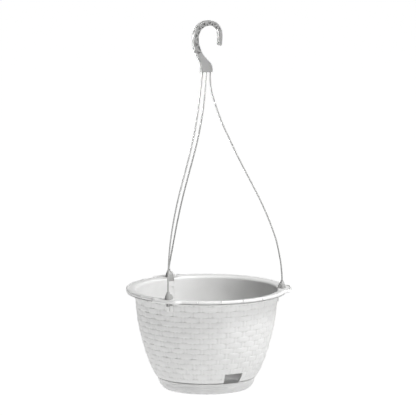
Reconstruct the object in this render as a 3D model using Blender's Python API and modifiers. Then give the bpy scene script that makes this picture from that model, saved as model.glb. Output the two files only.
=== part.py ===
"""Hanging basket: a woven-look plastic bowl with a push-on saucer, hung by three strands from one hook.

Frame: +Z up, origin at the centre of the saucer's flat underside. The watering window faces -Y, the three
ears stand at 90, 210 and 330 degrees round +Z, and the hook is a plate in the X-Z plane.
Sizes below are in millimetres and are turned into metres where the shapes are made.
"""

from math import cos, pi, radians, sin

import bmesh
import bpy
from mathutils import Matrix, Vector

MM = 0.001
GAP = 0.3  # clearance kept between pieces that touch

# Bowl
RIM_TOP = 183.0
RIM_R = 145.0
LIP_H = 6.0
WALL = 2.5
WALL_LINE = (  # outer radius and height of the bowl's wall, from under the rim down to the skirt's edge
    (129.4, 171.0),
    (127.4, 147.0),
    (123.7, 119.0),
    (117.0, 89.0),
    (107.6, 57.5),
    (97.7, 34.0),
    (91.4, 23.3),
)
FLARE = ((128.0, 177.2), (131.8, 180.4), (137.0, 182.2))  # inner face of the trumpet rim, going up
UNDER_FLARE = ((142.0, 179.8), (136.6, 179.4), (132.4, 177.6), (130.2, 174.6))  # its lower face, going in
LIP_ROUND = 0.8
LIP_T = 2.4
FLOOR_TOP = 46.5
FLOOR_T = 2.5
FLOOR_FILLET = 1.6
SKIRT_BEND = (95.2, 34.0)  # the skirt's inner face, at the wall line's last bend
CENTRE_HOLE_R = 5.0
DRAIN_R = 3.5
DRAIN_RINGS = ((38.0, 6), (72.0, 9))
DRAIN_TURN = 13.0
TURN_STEPS = 60

# Ears, each with a slot for a clip, a pad on the wall below it and a shallow recess inside
EAR_ANGLES = (90.0, 210.0, 330.0)
EAR_TOP = 181.8
EAR_T = 4.5
EAR_R = 154.0
CLIP_R = 136.5
SLOT_HALF_W = 3.6
SLOT_HALF_D = 3.1
EAR_SIDE = ((131.0, -7.0), (144.0, -12.6), (147.6, -11.0), (152.4, -9.4))  # radius and angle, out to the end
EAR_END_ANGLES = (-7.4, -3.7, 0.0, 3.7, 7.4)
SLOT_LOW = 171.0
NOTCH_IN = 121.0  # the notch through the trumpet rim, which a clip's tongue drops into
NOTCH_HALF_W = 5.5
NOTCH_LOW = 169.6
PAD_IN = 127.2
PAD_R = 131.0
PAD_HALF_W = 6.5
PAD_LOW = 158.0
PAD_CHAMFER = 1.6
GROOVE_IN = 129.9
GROOVE_HALF_W = 0.8
GROOVE_TOP = 174.0
RECESS_IN = 118.0
RECESS_HALF_W = 4.7
RECESS_LOW = (125.3, 143.0)  # the corners of the recess's back, 0.9 into the wall
RECESS_TOP = (127.3, 165.0)  # a bar of the wall is left between the recess and the notch

# Watering window in the skirt
WINDOW_HALF_ANGLE = 10.4
WINDOW_TOP = 40.5
WINDOW_IN = 80.0
WINDOW_OUT = 112.0

# Saucer
SAUCER_T = 2.0
SAUCER_LINE = (  # outer radius and height, from the collar's top down to the flat base
    (88.4, 29.0),
    (88.4, 22.6),
    (87.6, 17.5),
    (86.0, 12.5),
    (83.4, 7.5),
    (80.0, 3.4),
    (76.5, 0.9),
    (72.5, 0.0),
)
COLLAR_GAP_HALF_ANGLE = 13.0
COLLAR_GAP_LOW = 21.6
SAUCER_GROOVE = (20.9, 22.9)  # heights of the groove round the saucer, just under the skirt's edge
SAUCER_GROOVE_DEPTH = 3.0
SAUCER_STEP_SLOPE = 1.5  # how far above and below the groove the wall behind it runs straight
STOP_RIBS = 6  # under the bowl's floor, for the collar's edge
STOP_RIB_IN = 84.0
STOP_RIB_OUT = 93.0
STOP_RIB_HALF_T = 1.0

# Hook: its outer and inner edges in the X-Z plane, point for point across the band, from the base up over
# the crown and down to the tip
HOOK_T = 8.3
HOOK_CHAMFER = 0.7
HOOK_OUTER = (
    (-11.4, 575.4),
    (-11.5, 585.0),
    (-12.9, 594.2),
    (-17.6, 602.0),
    (-22.3, 610.5),
    (-26.2, 620.5),
    (-27.9, 631.5),
    (-27.6, 643.0),
    (-24.2, 653.5),
    (-16.6, 662.6),
    (-7.0, 667.2),
    (3.5, 668.5),
    (14.0, 666.8),
    (23.2, 660.9),
    (29.2, 651.5),
    (31.4, 641.5),
    (31.0, 633.0),
    (30.2, 626.4),
)
HOOK_INNER = (
    (11.2, 575.4),
    (10.4, 584.5),
    (7.0, 591.6),
    (-0.8, 599.4),
    (-9.0, 609.0),
    (-14.4, 620.0),
    (-17.6, 631.5),
    (-17.2, 643.0),
    (-13.0, 652.0),
    (-7.0, 656.9),
    (-1.2, 658.9),
    (4.8, 659.4),
    (11.0, 658.6),
    (17.0, 655.6),
    (22.2, 649.6),
    (24.3, 641.5),
    (24.4, 633.0),
    (24.0, 626.4),
)
HOOK_TRIANGLES = 8  # pairs of pockets between the zig-zag ribs
POCKETS_FROM = 3.6  # stations along the band
POCKETS_TO = 14.4
POCKET_DEPTH = 2.0
RIB_T = 1.5
SOCKET_XS = (-8.0, 0.0, 8.0)
SOCKET_FLOOR = 577.4
SOCKET_TOP = 584.0
SOCKET_HALF_W = 2.9
THROAT_FRONT = -2.5  # leaves room for the strands to swing forwards

# Strands
STRAND_R = 1.4
HEAD_R = 2.6
HEAD_Z = 579.75  # the heads' centres, on the axis that the basket swings about
# Share of the way out from the hook to the clip, and height, along each strand
ROUTE_FRONT_LEFT = (
    (0.0, 579.75), (0.0, 574.0), (0.022, 561.0), (0.049, 545.0), (0.085, 527.0), (0.165, 492.0),
    (0.275, 457.0), (0.410, 424.0), (0.560, 391.0), (0.712, 357.0), (0.832, 323.0), (0.922, 289.0),
    (0.974, 257.0), (0.996, 228.0), (1.0, 205.0), (1.0, 187.4),
)
ROUTE_BACK = (
    (0.0, 579.75), (0.0, 574.0), (0.012, 561.0), (0.028, 543.0), (0.053, 524.0), (0.128, 486.0),
    (0.233, 447.0), (0.368, 408.0), (0.513, 368.0), (0.648, 329.0), (0.766, 290.0), (0.866, 252.0),
    (0.932, 226.0), (0.984, 206.0), (1.0, 196.0), (1.0, 187.4),
)
ROUTE_RIGHT = (
    (0.0, 579.75), (0.0, 570.0), (0.002, 558.0), (0.014, 544.0), (0.051, 525.0), (0.149, 488.0),
    (0.273, 452.0), (0.409, 415.0), (0.554, 378.5), (0.697, 342.0), (0.821, 305.0), (0.918, 269.0),
    (0.978, 232.0), (0.994, 213.0), (1.0, 200.0), (1.0, 187.4),
)
STRANDS = (  # name, place of its socket in the hook, ear angle, route
    ("front_left", SOCKET_XS[0], 210.0, ROUTE_FRONT_LEFT),
    ("back", SOCKET_XS[1], 90.0, ROUTE_BACK),
    ("right", SOCKET_XS[2], 330.0, ROUTE_RIGHT),
)
STRAND_POINTS = 36

# Clips, in the clip's own frame: z from the ear's top, x outward from the bowl, y round the rim
BELL_LINE = (
    (2.5, 14.0),
    (3.0, 11.5),
    (4.4, 8.6),
    (5.7, 5.2),
    (6.4, 2.0),
    (6.5, GAP),
)
CLIP_BORE_DEPTH = 9.0
TONGUE_LINE = (  # on the bell's inner side, from its foot up under the apex
    (-3.4, -11.7),
    (-7.6, -11.7),
    (-8.4, -10.6),
    (-8.6, -4.0),
    (-8.0, 1.5),
    (-6.4, 6.0),
    (-3.4, 9.6),
    (-1.0, 9.0),
    (-1.0, 1.0),
    (-3.4, 1.0),
)
TONGUE_HALF_W = 5.1
LEG_IN = 0.9
LEG_OUT = 3.3
LEG_HALF_D = 2.8
LEG_LOW = -13.0
BARB_OUT = 4.5
BARB_TOP = -EAR_T - GAP
BARB_LOW = -9.5


def clear_scene():
    for ob in list(bpy.data.objects):
        bpy.data.objects.remove(ob, do_unlink=True)


def new_collection(name):
    group = bpy.data.collections.new(name)
    bpy.context.scene.collection.children.link(group)
    return group


def plastic(name, colour, roughness):
    mat = bpy.data.materials.new(name)
    mat.use_nodes = True
    shader = mat.node_tree.nodes["Principled BSDF"]
    shader.inputs["Base Color"].default_value = (*colour, 1.0)
    shader.inputs["Roughness"].default_value = roughness
    shader.inputs["Metallic"].default_value = 0.0
    return mat


def add_object(name, data, group, mat=None):
    ob = bpy.data.objects.new(name, data)
    group.objects.link(ob)
    if mat:
        data.materials.append(mat)
    return ob


def as_cutter(ob):
    ob.hide_render = True
    ob.display_type = "WIRE"
    return ob


def boolean(ob, other, operation):
    mod = ob.modifiers.new(other.name, "BOOLEAN")
    mod.operation = operation
    mod.object = other
    mod.solver = "EXACT"


def settle(ob):
    """Replaces the object's mesh by its evaluated one and clears the modifiers."""
    bpy.context.view_layer.update()
    evaluated = ob.evaluated_get(bpy.context.evaluated_depsgraph_get())
    mesh = bpy.data.meshes.new_from_object(evaluated)
    mesh.name = ob.name
    ob.modifiers.clear()
    ob.data = mesh


def curve_to_mesh(ob, group):
    """A mesh object in place of a curve, with its loose caps welded."""
    bpy.context.view_layer.update()
    mesh = bpy.data.meshes.new_from_object(ob.evaluated_get(bpy.context.evaluated_depsgraph_get()))
    bm = bmesh.new()
    bm.from_mesh(mesh)
    bmesh.ops.remove_doubles(bm, verts=bm.verts, dist=0.00001)
    bmesh.ops.recalc_face_normals(bm, faces=bm.faces)
    bm.to_mesh(mesh)
    bm.free()
    name, place = ob.name, ob.matrix_world.copy()
    bpy.data.objects.remove(ob, do_unlink=True)
    made = add_object(name, mesh, group)
    made.matrix_world = place
    return made


def shade(ob, angle=35.0):
    ob.data.shade_smooth()
    ob.data.set_sharp_from_angle(angle=radians(angle))


def turned(name, profile, group, mat=None, closed=True, steps=TURN_STEPS):
    """A profile of (radius, height) turned round Z; a closed one makes a ring."""
    bm = bmesh.new()
    verts = [bm.verts.new((r * MM, 0.0, z * MM)) for r, z in profile]
    for a, b in zip(verts, verts[1:]):
        bm.edges.new((a, b))
    if closed:
        bm.edges.new((verts[-1], verts[0]))
    mesh = bpy.data.meshes.new(name)
    bm.to_mesh(mesh)
    bm.free()
    ob = add_object(name, mesh, group, mat)
    screw = ob.modifiers.new("turn", "SCREW")
    screw.axis = "Z"
    screw.steps = steps
    screw.render_steps = steps
    screw.use_merge_vertices = True
    screw.merge_threshold = 0.00001
    return ob


def outline(name, points, half_height, group, chamfer=0.0):
    """A flat closed outline in X-Y, filled and given thickness both ways along Z."""
    curve = bpy.data.curves.new(name, "CURVE")
    curve.dimensions = "2D"
    curve.fill_mode = "BOTH"
    curve.extrude = (half_height - chamfer) * MM
    curve.bevel_depth = chamfer * MM
    curve.offset = -chamfer * MM
    curve.bevel_resolution = 0
    spline = curve.splines.new("POLY")
    spline.points.add(len(points) - 1)
    for point, (x, y) in zip(spline.points, points):
        point.co = (x * MM, y * MM, 0.0, 1.0)
    spline.use_cyclic_u = True
    return add_object(name, curve, group)


def slab(name, points, low, high, group):
    """A mesh slab of a plan outline, from one height to another."""
    ob = outline(name, points, (high - low) / 2, group)
    ob.location = (0.0, 0.0, (low + high) / 2 * MM)
    return curve_to_mesh(ob, group)


def block(name, low, high, group):
    """An axis-aligned box between two corners."""
    bm = bmesh.new()
    bmesh.ops.create_cube(bm, size=1.0)
    size = [(b - a) * MM for a, b in zip(low, high)]
    centre = [(a + b) / 2 * MM for a, b in zip(low, high)]
    bmesh.ops.scale(bm, vec=size, verts=bm.verts)
    bmesh.ops.translate(bm, vec=centre, verts=bm.verts)
    mesh = bpy.data.meshes.new(name)
    bm.to_mesh(mesh)
    bm.free()
    return add_object(name, mesh, group)


def drum(name, radius, low, high, group, sides=16):
    """An upright round bar."""
    bm = bmesh.new()
    bmesh.ops.create_cone(
        bm, cap_ends=True, segments=sides, radius1=radius * MM, radius2=radius * MM, depth=(high - low) * MM
    )
    bmesh.ops.translate(bm, vec=(0.0, 0.0, (low + high) / 2 * MM), verts=bm.verts)
    mesh = bpy.data.meshes.new(name)
    bm.to_mesh(mesh)
    bm.free()
    return add_object(name, mesh, group)


def about_z(ob, degrees):
    ob.matrix_world = Matrix.Rotation(radians(degrees), 4, "Z") @ ob.matrix_world
    return ob


def polar(radius, degrees):
    return radius * cos(radians(degrees)), radius * sin(radians(degrees))


def smooth(points, per_span):
    """Points of a smooth curve through the given ones (Catmull-Rom), ends included."""
    padded = [points[0], *points, points[-1]]
    found = []
    for i in range(1, len(padded) - 2):
        a, b, c, d = (Vector(padded[i + k]) for k in (-1, 0, 1, 2))
        for step in range(per_span):
            t = step / per_span
            square = (2 * a - 5 * b + 4 * c - d) * t * t
            cube = (3 * b - a - 3 * c + d) * t**3
            found.append(0.5 * (2 * b + (c - a) * t + square + cube))
    found.append(Vector(points[-1]))
    return found


def evenly(points, count):
    """The same path with its points spaced evenly."""
    along = [0.0]
    for a, b in zip(points, points[1:]):
        along.append(along[-1] + (b - a).length)
    found, i = [], 0
    for n in range(count):
        at = along[-1] * n / (count - 1)
        while i < len(points) - 2 and along[i + 1] < at:
            i += 1
        t = (at - along[i]) / (along[i + 1] - along[i])
        found.append(points[i].lerp(points[i + 1], min(max(t, 0.0), 1.0)))
    return found


def wall_radius(height):
    """The outer radius of the bowl's wall at a height."""
    for (r1, z1), (r2, z2) in zip(WALL_LINE, WALL_LINE[1:]):
        if z2 <= height <= z1:
            return r2 + (r1 - r2) * (height - z2) / (z1 - z2)
    return WALL_LINE[0][0] if height > WALL_LINE[0][1] else WALL_LINE[-1][0]


# ---------------------------------------------------------------- bowl


def bowl_profile():
    """The bowl's section as one ring: floor, inner wall, trumpet rim, lip, outer wall and skirt."""
    inner = [(r - WALL, z) for r, z in WALL_LINE if z > FLOOR_TOP + 3]
    floor_r = wall_radius(FLOOR_TOP) - WALL
    under = FLOOR_TOP - FLOOR_T
    up_inside = [
        (CENTRE_HOLE_R, FLOOR_TOP),
        (floor_r - 2.5 * FLOOR_FILLET, FLOOR_TOP),
        (floor_r - 0.25 * FLOOR_FILLET, FLOOR_TOP + FLOOR_FILLET),
        *inner[::-1],
    ]
    lip = [
        (RIM_R - LIP_T - 0.5 * LIP_ROUND, RIM_TOP),
        (RIM_R - LIP_ROUND, RIM_TOP - 0.75 * LIP_ROUND),
        (RIM_R, RIM_TOP - 2.25 * LIP_ROUND),
        (RIM_R, RIM_TOP - LIP_H + 1.75 * LIP_ROUND),
        (RIM_R - LIP_ROUND, RIM_TOP - LIP_H),
        (RIM_R - LIP_T, RIM_TOP - LIP_H),
    ]
    skirt_top = (wall_radius(under) - WALL, under - FLOOR_FILLET)
    skirt_in = [
        (WALL_LINE[-1][0] - WALL, WALL_LINE[-1][1]),
        SKIRT_BEND,
        (skirt_top[0] - 1.2, skirt_top[1]),
        (skirt_top[0] - 1.2 - FLOOR_FILLET, under),
    ]
    return [*up_inside, *FLARE, *lip, *UNDER_FLARE, *WALL_LINE, *skirt_in, (CENTRE_HOLE_R, under)]


def ear_plan(grow=0.0):
    """Plan outline of an ear at 0 degrees, easing out of the round rim."""
    end = [(EAR_R, a) for a in EAR_END_ANGLES]
    other_side = [(r, -a) for r, a in reversed(EAR_SIDE)]
    return [polar(r + grow, a) for r, a in (*EAR_SIDE, *end, *other_side)]


def pad(group):
    """The low pad on the outside of the wall under an ear, at 0 degrees."""
    top = EAR_TOP - EAR_T + 1.0
    section = [
        (PAD_IN, top),
        (PAD_IN, PAD_LOW),
        (PAD_R - PAD_CHAMFER, PAD_LOW),
        (PAD_R, PAD_LOW + PAD_CHAMFER),
        (PAD_R, top),
    ]
    ob = outline("pad", section, PAD_HALF_W, group)
    ob.rotation_euler = (radians(90.0), 0.0, 0.0)
    return curve_to_mesh(ob, group)


def recess(group):
    """The shallow recess in the bowl's inner wall below a clip's tongue, at 0 degrees."""
    section = [(RECESS_IN, RECESS_LOW[1]), RECESS_LOW, RECESS_TOP, (RECESS_IN, RECESS_TOP[1])]
    ob = outline("recess", section, RECESS_HALF_W, group)
    ob.rotation_euler = (radians(90.0), 0.0, 0.0)
    return curve_to_mesh(ob, group)


def make_bowl(parts, cutters, mat):
    bowl = turned("pot", bowl_profile(), parts, mat)
    for angle in EAR_ANGLES:
        ear = slab(f"ear_{angle:.0f}", ear_plan(), EAR_TOP - EAR_T, EAR_TOP, cutters)
        boolean(bowl, as_cutter(about_z(ear, angle)), "UNION")
        boolean(bowl, as_cutter(about_z(pad(cutters), angle)), "UNION")
    for n in range(STOP_RIBS):
        rib = block(
            f"rib_{n}",
            (STOP_RIB_IN, -STOP_RIB_HALF_T, SAUCER_LINE[0][1] + GAP),
            (STOP_RIB_OUT, STOP_RIB_HALF_T, FLOOR_TOP - FLOOR_T + 1.0),
            cutters,
        )
        boolean(bowl, as_cutter(about_z(rib, 60.0 * n)), "UNION")
    for angle in EAR_ANGLES:
        level = slab("level", ear_plan(grow=-0.6), EAR_TOP, RIM_TOP + 2.0, cutters)
        slot = block(
            "slot",
            (CLIP_R - SLOT_HALF_D - 1.4, -SLOT_HALF_W, SLOT_LOW),
            (CLIP_R + SLOT_HALF_D, SLOT_HALF_W, RIM_TOP + 2.0),
            cutters,
        )
        groove = block(
            "groove",
            (GROOVE_IN, -GROOVE_HALF_W, PAD_LOW - 1.0),
            (PAD_R + 1.0, GROOVE_HALF_W, GROOVE_TOP),
            cutters,
        )
        notch = block(
            "notch",
            (NOTCH_IN, -NOTCH_HALF_W, NOTCH_LOW),
            (CLIP_R - SLOT_HALF_D, NOTCH_HALF_W, RIM_TOP + 3.0),
            cutters,
        )
        for cutter in (level, notch, slot, recess(cutters), groove):
            boolean(bowl, as_cutter(about_z(cutter, angle)), "DIFFERENCE")
    edge = WINDOW_HALF_ANGLE
    corners = ((WINDOW_IN, -edge), (WINDOW_IN, edge), (WINDOW_OUT, edge), (WINDOW_OUT, -edge))
    window = [polar(r, 270.0 + a) for r, a in corners]
    boolean(bowl, as_cutter(slab("window", window, 20.0, WINDOW_TOP, cutters)), "DIFFERENCE")
    for ring_r, count in DRAIN_RINGS:
        for n in range(count):
            hole = drum("drain", DRAIN_R, FLOOR_TOP - 6.0, FLOOR_TOP + 3.0, cutters, sides=10)
            hole.location = (ring_r * MM, 0.0, 0.0)
            bpy.context.view_layer.update()
            boolean(bowl, as_cutter(about_z(hole, 360.0 * n / count + DRAIN_TURN)), "DIFFERENCE")
    settle(bowl)
    shade(bowl)
    return bowl


# ---------------------------------------------------------------- saucer


def saucer_profile():
    """The dish's section, from the middle of its floor out, over the collar and back under it."""
    low, high = SAUCER_GROOVE
    outer_r = SAUCER_LINE[1][0]
    bottom_r = outer_r - SAUCER_GROOVE_DEPTH
    groove = [(outer_r, high), (bottom_r, high), (bottom_r, low), (outer_r, low)]
    outside = [SAUCER_LINE[0], *groove, *SAUCER_LINE[2:]]
    inner_r = bottom_r - SAUCER_T
    behind = [(inner_r, high + SAUCER_STEP_SLOPE), (inner_r, low - SAUCER_STEP_SLOPE)]
    collar_in = outer_r - SAUCER_T
    top = [(collar_in, SAUCER_LINE[0][1]), (collar_in, high + SAUCER_STEP_SLOPE + 0.8 * SAUCER_GROOVE_DEPTH)]
    below = [(r - SAUCER_T, z) for r, z in SAUCER_LINE[3:] if z > SAUCER_T + 1.0]
    inside = [*top, *behind, (SAUCER_LINE[2][0] - SAUCER_T - 0.3, low - SAUCER_STEP_SLOPE - 2.4), *below]
    floor_r = SAUCER_LINE[-2][0] - SAUCER_T
    return [(0.0, SAUCER_T), (floor_r, SAUCER_T), *inside[::-1], *outside, (0.0, 0.0)]


def make_saucer(parts, cutters, mat):
    saucer = turned("saucer", saucer_profile(), parts, mat, closed=False)
    edge = COLLAR_GAP_HALF_ANGLE
    inner_r, outer_r = SAUCER_LINE[0][0] - 10.0, SAUCER_LINE[0][0] + 8.0
    corners = ((inner_r, -edge), (inner_r, edge), (outer_r, edge), (outer_r, -edge))
    gap = [polar(r, 270.0 + a) for r, a in corners]
    boolean(
        saucer,
        as_cutter(slab("collar_gap", gap, COLLAR_GAP_LOW, SAUCER_LINE[0][1] + 5.0, cutters)),
        "DIFFERENCE",
    )
    settle(saucer)
    shade(saucer)
    return saucer


# ---------------------------------------------------------------- hook


def hook_across(at, share):
    """A point on the band: at counts the stations along it, share goes from 0 outside to 1 inside."""
    i = min(int(at), len(HOOK_OUTER) - 2)
    t = at - i
    outer = Vector(HOOK_OUTER[i]).lerp(Vector(HOOK_OUTER[i + 1]), t)
    inner = Vector(HOOK_INNER[i]).lerp(Vector(HOOK_INNER[i + 1]), t)
    return outer.lerp(inner, share)


def hook_outline():
    outer = smooth(HOOK_OUTER, 2)
    inner = smooth(HOOK_INNER, 2)
    centre = (Vector(HOOK_OUTER[-1]) + Vector(HOOK_INNER[-1])) / 2
    radius = (Vector(HOOK_OUTER[-1]) - centre).length
    tip = [centre + radius * Vector((cos(a), sin(a))) for a in (-pi * n / 6 for n in range(1, 6))]
    return [tuple(p) for p in (*outer, *tip, *inner[::-1])]


def inset(corners, by):
    """A triangle drawn in from each of its sides by a distance."""
    a, b, c = corners
    sides = [(b - c).length, (c - a).length, (a - b).length]
    around = sum(sides)
    middle = (a * sides[0] + b * sides[1] + c * sides[2]) / around
    inradius = abs((b - a).cross(c - a)) / around
    keep = max(0.0, 1.0 - by / inradius)
    return [middle + (p - middle) * keep for p in corners]


def pocket_cutters(group):
    """Prisms for the triangular pockets on both faces, left between an edge bead and zig-zag ribs."""
    step = (POCKETS_TO - POCKETS_FROM) / HOOK_TRIANGLES
    made = []
    for n in range(2 * HOOK_TRIANGLES - 1):
        start = POCKETS_FROM + n * step / 2
        near, far = (0.0, 1.0) if n % 2 == 0 else (1.0, 0.0)
        places = ((start, near), (start + step, near), (start + step / 2, far))
        corners = inset([hook_across(at, share) for at, share in places], RIB_T)
        for side in (-1, 1):
            prism = outline(f"pocket_{n}", [tuple(p) for p in corners], POCKET_DEPTH, group)
            prism.rotation_euler = (radians(90.0), 0.0, 0.0)
            prism.location = (0.0, side * HOOK_T / 2 * MM, 0.0)
            made.append(as_cutter(curve_to_mesh(prism, group)))
    return made


def make_hook(parts, cutters, mat):
    flat = outline("hook", hook_outline(), HOOK_T / 2, parts, chamfer=HOOK_CHAMFER)
    flat.rotation_euler = (radians(90.0), 0.0, 0.0)
    hook = curve_to_mesh(flat, parts)
    hook.data.materials.append(mat)
    for cutter in pocket_cutters(cutters):
        boolean(hook, cutter, "DIFFERENCE")
    back = HOOK_T / 2 + 1.0
    for x in SOCKET_XS:
        socket = block(
            "socket",
            (x - SOCKET_HALF_W, -SOCKET_HALF_W, SOCKET_FLOOR),
            (x + SOCKET_HALF_W, back, SOCKET_TOP),
            cutters,
        )
        half = STRAND_R + GAP
        low = HOOK_OUTER[0][1] - 3.0
        throat = block("throat", (x - half, THROAT_FRONT, low), (x + half, back, SOCKET_FLOOR + 1.0), cutters)
        boolean(hook, as_cutter(socket), "DIFFERENCE")
        boolean(hook, as_cutter(throat), "DIFFERENCE")
    settle(hook)
    shade(hook)
    return hook


# ---------------------------------------------------------------- strands and clips


def strand_path(socket_x, ear_angle, route):
    """The strand's centreline, in the upright plane from its socket to its clip."""
    out_x, out_y = polar(CLIP_R, ear_angle)
    points = [(socket_x + (out_x - socket_x) * u, out_y * u, z) for u, z in route]
    return evenly(smooth(points, 8), STRAND_POINTS)


def make_strand(name, socket_x, ear_angle, route, parts, cutters, mat):
    path = strand_path(socket_x, ear_angle, route)
    curve = bpy.data.curves.new(f"strand_{name}", "CURVE")
    curve.dimensions = "3D"
    curve.bevel_depth = STRAND_R * MM
    curve.bevel_resolution = 2
    curve.use_fill_caps = True
    spline = curve.splines.new("POLY")
    spline.points.add(len(path) - 1)
    for point, place in zip(spline.points, path):
        point.co = (*(place * MM), 1.0)
    strand = curve_to_mesh(add_object(curve.name, curve, parts), parts)
    strand.data.materials.append(mat)
    bm = bmesh.new()
    bmesh.ops.create_uvsphere(bm, u_segments=12, v_segments=8, radius=HEAD_R * MM)
    mesh = bpy.data.meshes.new("head")
    bm.to_mesh(mesh)
    bm.free()
    head = add_object("head", mesh, cutters)
    head.location = (socket_x * MM, 0.0, HEAD_Z * MM)
    boolean(strand, as_cutter(head), "UNION")
    settle(strand)
    shade(strand)
    return strand


def clip_leg(side, group):
    """One springy leg with its barb, on one side of the clip's middle."""
    section = [
        (side * LEG_IN, 1.5),
        (side * LEG_IN, LEG_LOW),
        (side * (LEG_OUT - 1.2), LEG_LOW),
        (side * LEG_OUT, BARB_LOW),
        (side * BARB_OUT, BARB_TOP - 1.2),
        (side * BARB_OUT, BARB_TOP),
        (side * LEG_OUT, BARB_TOP),
        (side * LEG_OUT, 1.5),
    ]
    leg = outline("leg", section, LEG_HALF_D, group)
    leg.rotation_euler = (radians(90.0), 0.0, radians(90.0))
    return as_cutter(curve_to_mesh(leg, group))


def make_clip(name, ear_angle, parts, cutters, mat):
    """A bell that rests over the slot, bored for the strand's end, with a tongue and two barbed legs."""
    bore = STRAND_R + GAP
    floor = BELL_LINE[0][1] - CLIP_BORE_DEPTH
    profile = [(0.0, floor), (bore, floor), (bore, BELL_LINE[0][1]), *BELL_LINE, (0.0, GAP)]
    clip = turned(f"clip_{name}", profile, parts, mat, closed=False, steps=16)
    tongue = outline("tongue", TONGUE_LINE, TONGUE_HALF_W, cutters)
    tongue.rotation_euler = (radians(90.0), 0.0, 0.0)
    boolean(clip, as_cutter(curve_to_mesh(tongue, cutters)), "UNION")
    for side in (-1, 1):
        boolean(clip, clip_leg(side, cutters), "UNION")
    bore_cut = drum("bore", bore, floor + 0.4, BELL_LINE[0][1] + 2.0, cutters, sides=12)
    boolean(clip, as_cutter(bore_cut), "DIFFERENCE")
    settle(clip)
    x, y = polar(CLIP_R, ear_angle)
    clip.location = (x * MM, y * MM, EAR_TOP * MM)
    clip.rotation_euler = (0.0, 0.0, radians(ear_angle))
    shade(clip)
    return clip


def main():
    clear_scene()
    parts = new_collection("hanging_basket")
    cutters = new_collection("cutters")
    body = plastic("bowl_plastic", (0.83, 0.83, 0.83), 0.45)
    dish = plastic("saucer_plastic", (0.80, 0.80, 0.80), 0.40)
    hanger = plastic("hanger_plastic", (0.46, 0.46, 0.46), 0.45)
    make_bowl(parts, cutters, body)
    make_saucer(parts, cutters, dish)
    make_hook(parts, cutters, hanger)
    for name, socket_x, ear_angle, route in STRANDS:
        make_strand(name, socket_x, ear_angle, route, parts, cutters, hanger)
        make_clip(name, ear_angle, parts, cutters, hanger)


main()
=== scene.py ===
"""Looks of the hanging basket: every visible piece, its material, the light and the camera.

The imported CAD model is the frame, and each piece here stands in its place and rides on its body.
Shapes are worked out in millimetres, in the frame's axes: +Z up, origin under the saucer's middle.
"""

from math import cos, pi, radians, sin

import bmesh
import bpy
import numpy as np
from mathutils import Matrix, Vector


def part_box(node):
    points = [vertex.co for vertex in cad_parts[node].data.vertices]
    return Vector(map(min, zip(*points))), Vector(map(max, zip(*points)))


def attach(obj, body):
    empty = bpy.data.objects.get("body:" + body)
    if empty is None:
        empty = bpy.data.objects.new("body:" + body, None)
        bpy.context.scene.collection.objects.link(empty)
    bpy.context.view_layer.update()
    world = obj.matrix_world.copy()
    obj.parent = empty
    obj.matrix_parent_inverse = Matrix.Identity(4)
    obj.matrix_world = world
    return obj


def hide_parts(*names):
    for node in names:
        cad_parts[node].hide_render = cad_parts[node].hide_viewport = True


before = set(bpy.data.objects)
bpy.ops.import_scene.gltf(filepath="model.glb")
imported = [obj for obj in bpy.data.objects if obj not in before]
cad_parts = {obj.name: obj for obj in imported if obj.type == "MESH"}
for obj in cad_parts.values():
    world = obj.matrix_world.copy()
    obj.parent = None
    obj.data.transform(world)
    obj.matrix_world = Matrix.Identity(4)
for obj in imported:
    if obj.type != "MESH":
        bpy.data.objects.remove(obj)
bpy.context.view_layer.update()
MM = 0.001
# clearance between two pieces that touch
GAP = 0.3
# a gap narrow enough to weld
WELD = 0.00001
# how far a cutter reaches past the surface it opens
OVER = 2.0

# From the frame
POT_BOX = [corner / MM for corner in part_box("pot")]
SAUCER_BOX = [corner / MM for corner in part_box("saucer")]
HOOK_BOX = [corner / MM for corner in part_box("hook")]
RIM_TOP = POT_BOX[1].z
RIM_R = POT_BOX[1].x
SKIRT_LOW = POT_BOX[0].z
COLLAR_TOP = SAUCER_BOX[1].z
HOOK_T = HOOK_BOX[1].y - HOOK_BOX[0].y
HOOK_LOW = HOOK_BOX[0].z

# Bowl: (radius, height) down the wall's outermost surface
WALL_LINE = (
    (129.4, 171.0), (127.4, 147.0), (123.7, 119.0), (117.0, 89.0), (107.6, 57.5), (97.7, 34.0), (91.4, 23.3),
)
WALL = 2.5
INNER_WALL_SPAN = (49.5, 156.0)
SKIRT_INNER_ZS = (29.0, 34.0, 39.0)
TURN_STEPS = 240

# The rim: the wall flares out inside, ends in a bead, and comes back in under it
FLARE = (
    (126.1, 162.0), (126.5, 168.0), (126.9, 174.0), (127.5, 178.4), (129.9, 181.0), (133.4, 182.0),
    (137.2, 182.4),
)
LIP_HALF_T = 3.2
LIP_H = 6.0
LIP_MIDDLE = (RIM_R - LIP_HALF_T, RIM_TOP - LIP_H / 2)
# below 1 the bead's section is fuller than an ellipse
LIP_FULLNESS = 0.75
# from the bead's middle: the slot under the bead, and the thin edge below the slot
UNDER_LIP = ((2.2, -2.5), (-3.0, -2.5), (-3.0, -3.8), (1.4, -3.8), (1.8, -4.1), (1.6, -4.6), (0.6, -4.8))
UNDER_FLARE = ((138.2, 175.4), (137.3, 176.4), (136.2, 178.4), (133.0, 178.0), (130.6, 176.7))
UNDER_GROOVE = ((128.5, 176.5), (128.5, 174.9))

# Raised floor; its fillets are steps in from the wall and up or down from the floor's face
FLOOR_TOP = 46.5
FLOOR_T = 2.5
FLOOR_UNDER = FLOOR_TOP - FLOOR_T
FLOOR_FILLET = ((-4.0, 0.0), (-1.6, 0.56), (-0.4, 1.76))
UNDER_FILLET = ((-0.9, -1.6), (-1.5, -0.5), (-2.8, 0.0))
CENTRE_HOLE_R = 5.0
DRAIN_R = 3.5
DRAIN_RINGS = ((38.0, 6), (72.0, 9))
DRAIN_TURN = 13.0
STOP_RIBS = 6
STOP_RIB_RADII = (84.0, 93.0)
STOP_RIB_HALF_T = 1.0
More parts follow.
